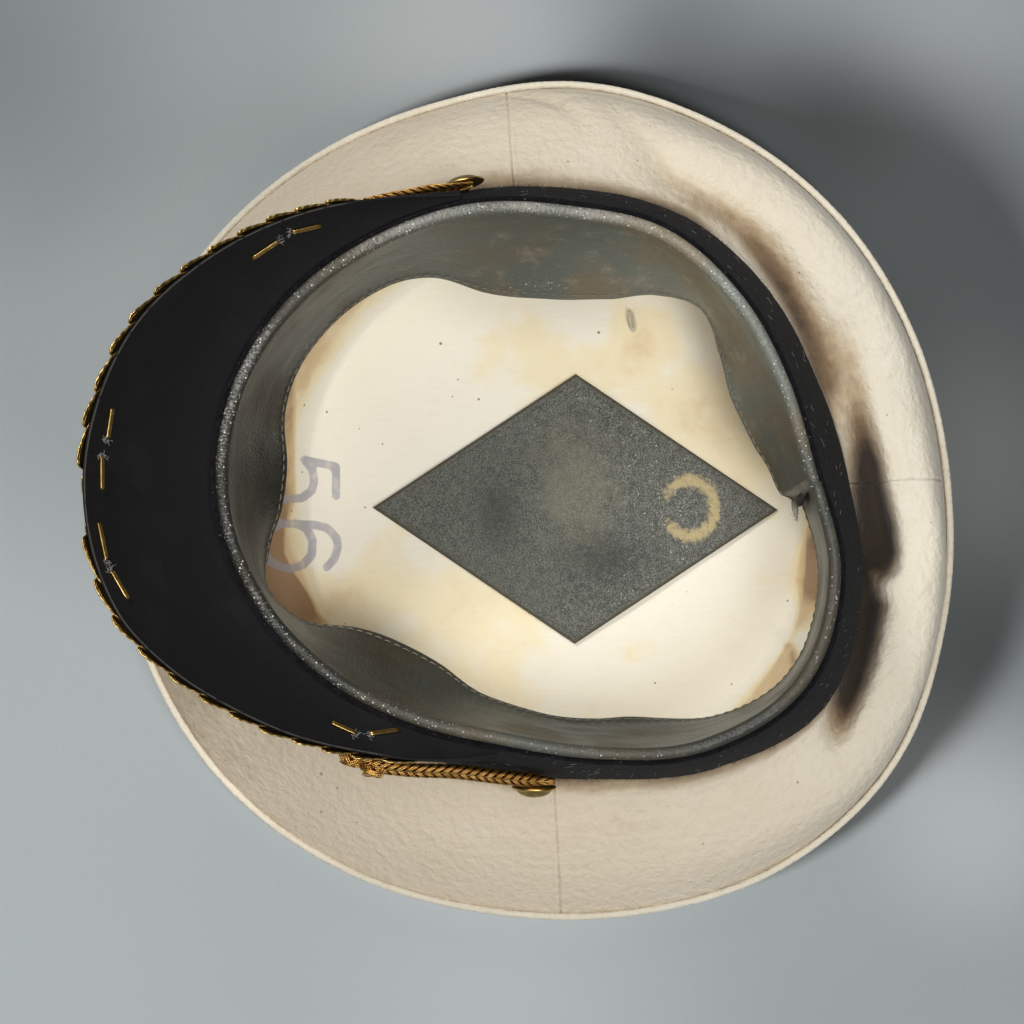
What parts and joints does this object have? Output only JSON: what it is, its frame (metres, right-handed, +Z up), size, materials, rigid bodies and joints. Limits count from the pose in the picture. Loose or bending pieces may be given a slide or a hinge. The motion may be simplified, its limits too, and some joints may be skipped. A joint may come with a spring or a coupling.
{
  "type": "peaked cap",
  "caption": "White-topped peaked cap lying upside down on its crown, with a dark wool band, leather sweatband, cloth lining, gilt-edged peak and twisted gilt chin cord.",
  "frame": {"origin": "under the middle of the cap's overall box, at the height of the face it lies on", "axes": "+Z up, out of the head opening, with the crown resting on the surface below; -Y toward the peak; +X toward the wearer's right side"},
  "size_m": [0.2718, 0.2708, 0.1319],
  "materials": {
    "cream_cloth": "plain-woven cotton, aged off-white",
    "black_wool": "felted black wool with lint",
    "sweatband_leather": "worn dark grey-green leather, scuffed pale along its edge",
    "lining_cloth": "fine cream lining with yellow stains",
    "peak_board": "matt black covered board",
    "gilt_metal": "gilded, slightly dulled",
    "gilt_cord": "twisted gilt wire thread"
  },
  "bodies": {
    "root": {"crown_top": "cream_cloth", "quarter_front_left": "cream_cloth", "quarter_front_right": "cream_cloth", "quarter_rear_left": "cream_cloth", "quarter_rear_right": "cream_cloth", "edge_piping": "cream_cloth", "cap_band": "black_wool", "sweatband": "sweatband_leather", "lining": "lining_cloth", "lining_patch": "sweatband_leather", "peak": "peak_board", "leaf_trim": "gilt_metal", "chin_cord": "gilt_cord", "cord_slide_left": "gilt_cord", "cord_slide_right": "gilt_cord", "side_button_left": "gilt_metal", "side_button_right": "gilt_metal"}
  },
  "joints": []
}
